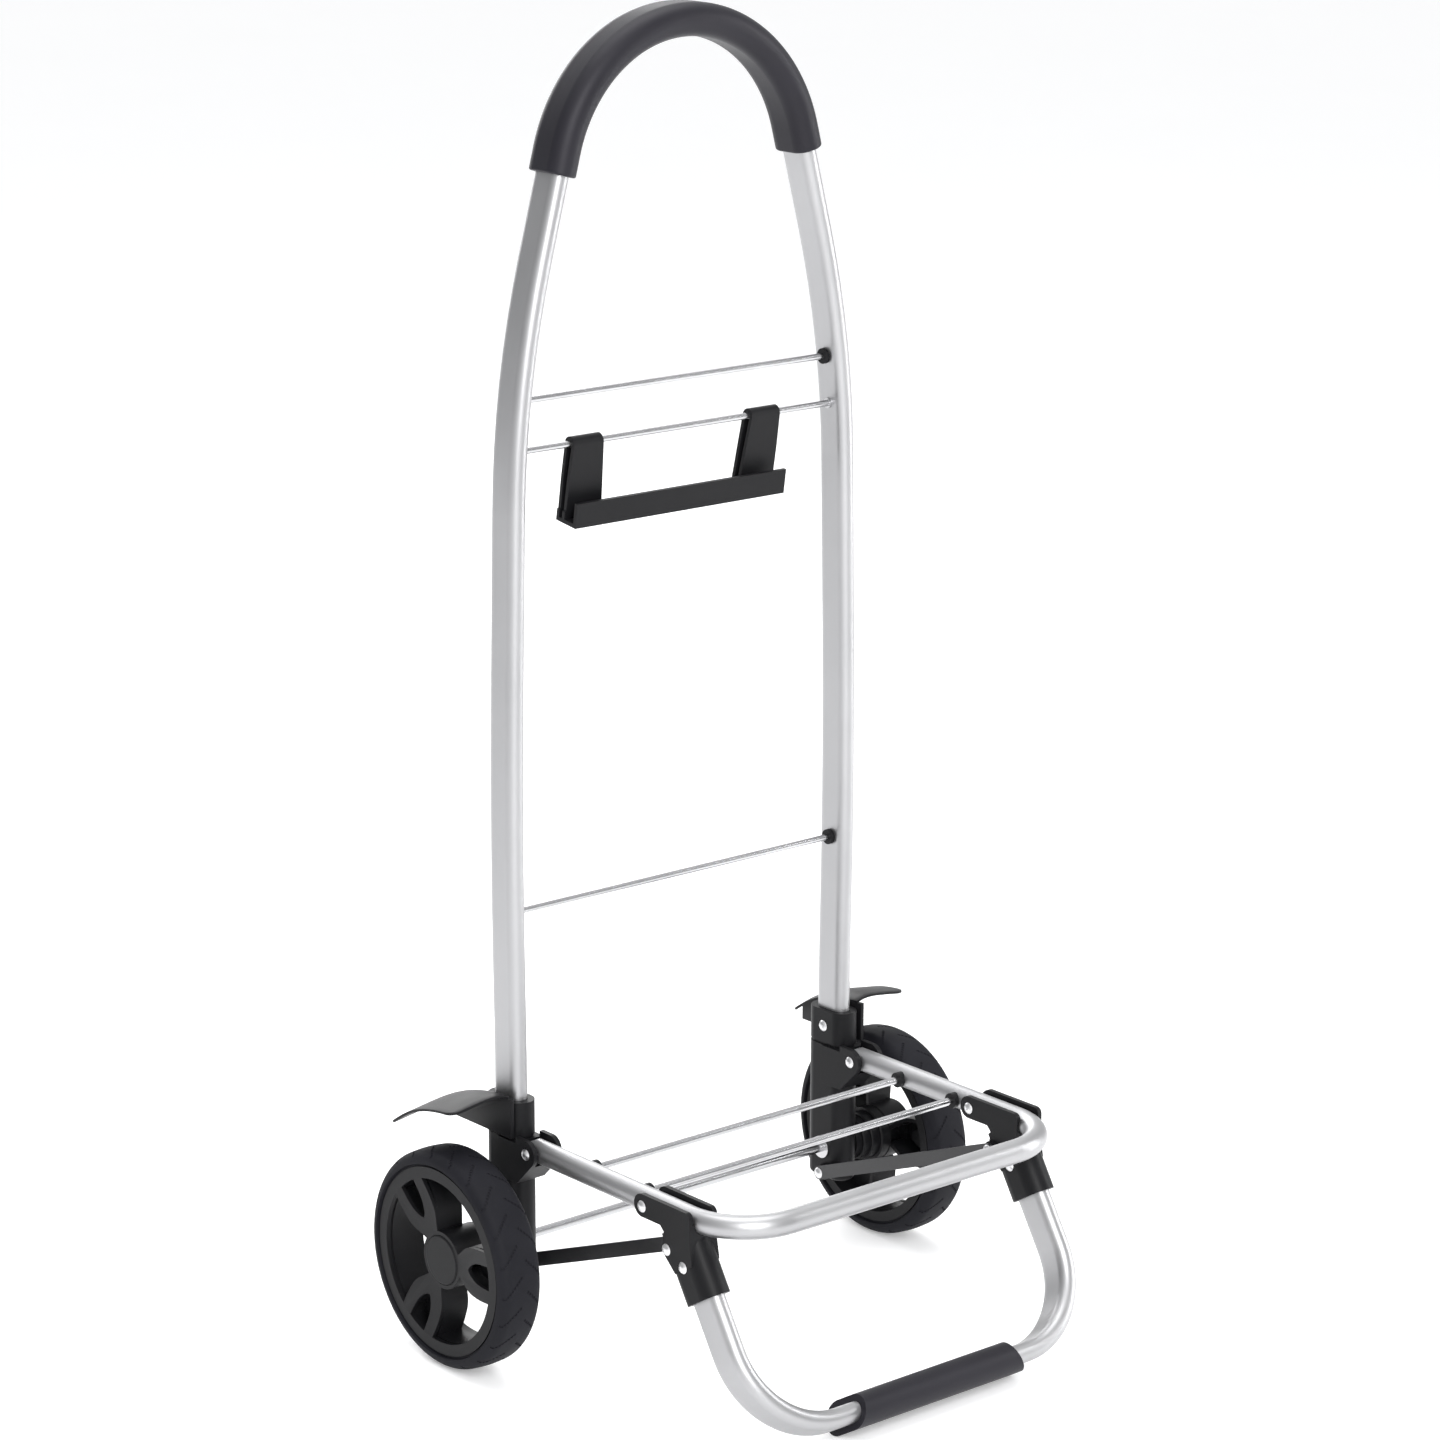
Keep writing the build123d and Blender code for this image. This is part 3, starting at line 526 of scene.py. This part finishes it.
# (distance from the middle of the trolley, radius), in millimetres
HUB_STEPS = [(206, 22.0), (197, 22.0), (196, 21.2), (196, 19.5), (189, 19.5), (188, 18.7)]
HUB_STEPS += [(188, 17.4), (182, 17.4), (181, 16.6), (181, 15.05), (206, 15.05)]


def make_hub_rings(side, name):
    """Stepped rings round the hub, on the inner side of a wheel."""
    profile = [(side * x * MM, r * MM) for x, r in HUB_STEPS]
    rings = turned(f"hub_rings_{name}", profile, 72)
    smooth(rings, 30)
    fit(rings, f"wheel_{name}", "plastic")


class TROLLEY_OT_wheels(bpy.types.Operator):
    """Tyres with their tread, and rims and caps with rounded edges"""

    bl_idname = "trolley.wheels"
    bl_label = "Wheels"

    def execute(self, context):
        sizes = context.scene.trolley_sizes
        for name, side in SIDES.items():
            make_tyre(side, name, sizes)
            make_hub_rings(side, name)
            softened(f"wheel_rim_{name}", f"rim_{name}_moulding", 0.7 * MM, "plastic", 40)
            softened(f"hub_cap_{name}", f"hub_cap_{name}_moulding", 0.8 * MM, "plastic")
        return {"FINISHED"}


# --- mudguards ---
# (distance behind the axle, height) along the blade, and (distance from the middle, rise) across it
GUARD_LINE = [(-13.5, 204), (-2, 203.4), (9, 202), (21, 199.5), (36, 194.6), (49, 187.5), (62, 178.5)]
GUARD_RISE = [(174, 2.5), (180, 4.6), (187, 5.4), (196, 4.8), (206, 3.4), (217, 1.6), (228, 0)]
WEB_FRONT, WEB_REAR, WEB_LOW = -19, 52, 174.5
WEB_FRONT_TOP, WEB_REAR_TOP = 206, 186.5
WEB_WALL = 3.4
GUARD_CORNER_R = 9 * MM


def make_mudguard(side, name, sizes):
    """A bulging blade over the wheel, on an upright web beside the socket."""
    first_x, first_rise = GUARD_RISE[0]
    line = [
        (side * first_x * MM, AXLE.y + y * MM, FLOOR_Z + (z + first_rise) * MM) for y, z in GUARD_LINE
    ]
    blade = trace(f"mudguard_{name}_blade", line)
    for (x0, rise0), (x1, rise1) in zip(GUARD_RISE, GUARD_RISE[1:]):
        step = (side * (x1 - x0) * MM, 0, (rise1 - rise0) * MM)
        bpy.ops.mesh.extrude_region_move(TRANSFORM_OT_translate={"value": step})
    tidy(blade)
    outer = GUARD_RISE[-1][0] * MM
    front = AXLE.y + GUARD_LINE[0][0] * MM

    def corner(vertex):
        x, y, z = vertex.co
        return abs(abs(x) - outer) < 0.1 * MM and abs(y - front) < 0.1 * MM

    pick(blade, corner, "VERT")
    bpy.ops.mesh.bevel(offset=GUARD_CORNER_R, segments=6, affect="VERTICES")
    bpy.ops.object.mode_set(mode="OBJECT")
    up = sum(face.normal.z for face in blade.data.polygons)
    if up < 0:
        only(blade)
        bpy.ops.object.mode_set(mode="EDIT")
        bpy.ops.mesh.select_all(action="SELECT")
        bpy.ops.mesh.flip_normals()
        bpy.ops.object.mode_set(mode="OBJECT")
    modify(blade, "SUBSURF", levels=1, render_levels=1, boundary_smooth="PRESERVE_CORNERS")
    modify(blade, "SOLIDIFY", thickness=sizes.guard_wall, offset=-1.0)
    modify(blade, "BEVEL", width=0.6 * MM, segments=2, limit_method="ANGLE", angle_limit=1.0)
    smooth(blade, 40)
    fit(blade, "frame", "plastic", f"mudguard_{name}")

    top = [(y, z + first_rise - 1) for y, z in reversed(GUARD_LINE) if WEB_FRONT < y < WEB_REAR]
    edge = [(WEB_FRONT, WEB_LOW), (WEB_REAR, WEB_LOW), (WEB_REAR, WEB_REAR_TOP)]
    edge += top + [(WEB_FRONT, WEB_FRONT_TOP)]
    face_x = side * first_x * MM
    points = [(face_x, AXLE.y + y * MM, FLOOR_Z + z * MM) for y, z in edge]
    web = trace(f"mudguard_{name}_web", points)
    bpy.ops.mesh.edge_face_add()
    bpy.ops.mesh.extrude_region_move(TRANSFORM_OT_translate={"value": (side * WEB_WALL * MM, 0, 0)})
    tidy(web)
    modify(web, "BEVEL", width=0.5 * MM, segments=2, limit_method="ANGLE", angle_limit=0.8)
    smooth(web, 40)
    fit(web, "frame", "plastic", f"mudguard_{name}")


class TROLLEY_OT_mudguards(bpy.types.Operator):
    """The two mudguards"""

    bl_idname = "trolley.mudguards"
    bl_label = "Mudguards"

    def execute(self, context):
        for name, side in SIDES.items():
            make_mudguard(side, name, context.scene.trolley_sizes)
        return {"FINISHED"}


# --- moulded parts ---
class TROLLEY_OT_mouldings(bpy.types.Operator):
    """Sockets, leg brackets, hook rail and plugs with rounded edges"""

    bl_idname = "trolley.mouldings"
    bl_label = "Moulded parts"

    def execute(self, context):
        edge = context.scene.trolley_sizes.edge
        for name in SIDES:
            softened(f"socket_{name}", f"socket_{name}_moulding", edge, "plastic")
            softened(f"leg_bracket_{name}", f"leg_bracket_{name}_moulding", edge, "plastic")
        softened("bag_hook_rail", "bag_hook_rail_moulding", 0.5 * MM, "plastic")
        softened("rod_bushings", "rod_bushings_moulding", 0.5 * MM, "plastic")
        softened("platform_rod_bushings", "platform_rod_bushings_moulding", 0.5 * MM, "plastic")
        return {"FINISHED"}


FOOT_GRIP_SLOPE = math.radians(22)
FOOT_GRIP_INSET = 13 * MM


def slant_ends(node):
    """Cuts both ends aslant: the foam is shorter on top, inside the tube's bends."""
    low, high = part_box(node)
    middle = (low + high) / 2
    for side in SIDES.values():
        bpy.ops.mesh.select_all(action="SELECT")
        bpy.ops.mesh.bisect(
            plane_co=(side * (high.x - FOOT_GRIP_INSET), middle.y, middle.z),
            plane_no=(side * math.cos(FOOT_GRIP_SLOPE), 0, math.sin(FOOT_GRIP_SLOPE)),
            use_fill=True,
            clear_outer=True,
        )


class TROLLEY_OT_grips(bpy.types.Operator):
    """Foam grips on the bow and on the foot"""

    bl_idname = "trolley.grips"
    bl_label = "Grips"

    def execute(self, context):
        for node, shape in (("handle_grip", None), ("foot_grip", slant_ends)):
            piece = softened(node, f"{node}_foam", 1.6 * MM, "grip", 50, shape)
        return {"FINISHED"}


class TROLLEY_OT_metalwork(bpy.types.Operator):
    """Finishes on the CAD nodes that are shown as they are"""

    bl_idname = "trolley.metalwork"
    bl_label = "Metalwork finishes"

    def execute(self, context):
        slots = {s["node"]: s["material_slot"] for s in frame["record"]["subparts"]}
        for name, node in NODES.items():
            node.data.materials.clear()
            node.data.materials.append(finish(slots[name]))
            only(node)
            bpy.ops.object.shade_smooth_by_angle(angle=math.radians(35))
        return {"FINISHED"}


# --- studio ---
CAMERA_TURN = -40.27
CAMERA_RISE = 15.84
CAMERA_ROLL = 0.23
CAMERA_TARGET = (0.0, 0.0559, 0.425)
CAMERA_SHIFT = (-0.0036, 0.0462)
# name, place, width and height, share of the key light's power
LIGHTS = (
    ("key", (-1.5, -3.0, 2.2), (1.1, 2.4), 1.0),
    ("fill", (3.0, -1.6, 1.2), (0.7, 2.4), 0.5),
    ("top", (0.2, 0.4, 3.4), (2.4, 2.4), 0.6),
    ("back", (0.8, 3.0, 1.6), (2.6, 1.6), 0.5),
)


def soft_light(name, place, size, power, target=(0, 0, 0.45)):
    data = bpy.data.lights.new(name, "AREA")
    data.shape = "RECTANGLE"
    data.size, data.size_y = size
    data.energy = power
    light = bpy.data.objects.new(name, data)
    bpy.context.scene.collection.objects.link(light)
    light.location = place
    light.rotation_euler = (Vector(target) - Vector(place)).to_track_quat("-Z", "Y").to_euler()


def studio_sky(studio):
    """Pale all round, a little darker to both sides of the object."""
    world = bpy.data.worlds.new("studio_sky")
    world.use_nodes = True
    tree = world.node_tree
    background = tree.nodes["Background"]
    way = tree.nodes.new("ShaderNodeTexCoord")
    turn = tree.nodes.new("ShaderNodeVectorMath")
    turn.operation = "DOT_PRODUCT"
    angle = math.radians(CAMERA_TURN)
    turn.inputs[1].default_value = (math.cos(angle), math.sin(angle), 0)
    tree.links.new(way.outputs["Generated"], turn.inputs[0])
    away = tree.nodes.new("ShaderNodeMath")
    away.operation = "ABSOLUTE"
    tree.links.new(turn.outputs["Value"], away.inputs[0])
    tint = tree.nodes.new("ShaderNodeValToRGB")
    tint.color_ramp.elements[0].position = 0.25
    tint.color_ramp.elements[0].color = (*studio.sky, 1)
    tint.color_ramp.elements[1].position = 0.95
    tint.color_ramp.elements[1].color = (*studio.sides, 1)
    tree.links.new(away.outputs[0], tint.inputs[0])
    tree.links.new(tint.outputs[0], background.inputs["Color"])
    return world


class TROLLEY_OT_studio(bpy.types.Operator):
    """Floor, soft lights, sky and camera"""

    bl_idname = "trolley.studio"
    bl_label = "Studio"

    def execute(self, context):
        studio = context.scene.trolley_studio
        if bpy.context.object and bpy.context.object.mode != "OBJECT":
            bpy.ops.object.mode_set(mode="OBJECT")
        bpy.ops.object.select_all(action="DESELECT")
        bpy.ops.mesh.primitive_plane_add(size=60, location=(0, 0, FLOOR_Z))
        floor = bpy.context.object
        floor.name = "studio_floor"
        floor.data.materials.append(finish("floor"))
        for name, place, size, share in LIGHTS:
            soft_light(name, place, size, studio.key_power * share)
        context.scene.world = studio_sky(studio)
        context.scene.view_settings.view_transform = "Standard"
        data = bpy.data.cameras.new("camera")
        data.sensor_width = 36
        data.lens = studio.lens
        data.shift_x, data.shift_y = CAMERA_SHIFT
        data.clip_end = 100
        camera = bpy.data.objects.new("camera", data)
        context.scene.collection.objects.link(camera)
        turn, rise = math.radians(CAMERA_TURN), math.radians(CAMERA_RISE)
        back = Vector(
            (math.sin(turn) * math.cos(rise), -math.cos(turn) * math.cos(rise), math.sin(rise))
        )
        camera.location = Vector(CAMERA_TARGET) + back * studio.distance
        camera.rotation_euler = (-back).to_track_quat("-Z", "Y").to_euler()
        camera.rotation_euler.rotate_axis("Z", math.radians(CAMERA_ROLL))
        context.scene.camera = camera
        return {"FINISHED"}


class TROLLEY_PT_panel(bpy.types.Panel):
    """The trolley's steps, in the order they are run"""

    bl_idname = "TROLLEY_PT_panel"
    bl_label = "Bag trolley"
    bl_space_type = "VIEW_3D"
    bl_region_type = "UI"
    bl_category = "Trolley"

    def draw(self, context):
        for group in (context.scene.trolley_sizes, context.scene.trolley_studio):
            for key in group.__annotations__:
                self.layout.prop(group, key)
        for step in STEPS:
            self.layout.operator(step.bl_idname)


STEPS = (
    TROLLEY_OT_metalwork,
    TROLLEY_OT_wheels,
    TROLLEY_OT_mudguards,
    TROLLEY_OT_mouldings,
    TROLLEY_OT_grips,
    TROLLEY_OT_studio,
)
CLASSES = (TrolleySizes, TrolleyStudio, *STEPS, TROLLEY_PT_panel)


def register():
    for each in CLASSES:
        bpy.utils.register_class(each)
    bpy.types.Scene.trolley_sizes = bpy.props.PointerProperty(type=TrolleySizes)
    bpy.types.Scene.trolley_studio = bpy.props.PointerProperty(type=TrolleyStudio)


def unregister():
    del bpy.types.Scene.trolley_studio
    del bpy.types.Scene.trolley_sizes
    for each in reversed(CLASSES):
        bpy.utils.unregister_class(each)


def main():
    register()
    bpy.ops.trolley.metalwork()
    bpy.ops.trolley.wheels()
    bpy.ops.trolley.mudguards()
    bpy.ops.trolley.mouldings()
    bpy.ops.trolley.grips()
    bpy.ops.trolley.studio()
    only(bpy.data.objects["studio_floor"])


if __name__ == "__main__":
    main()
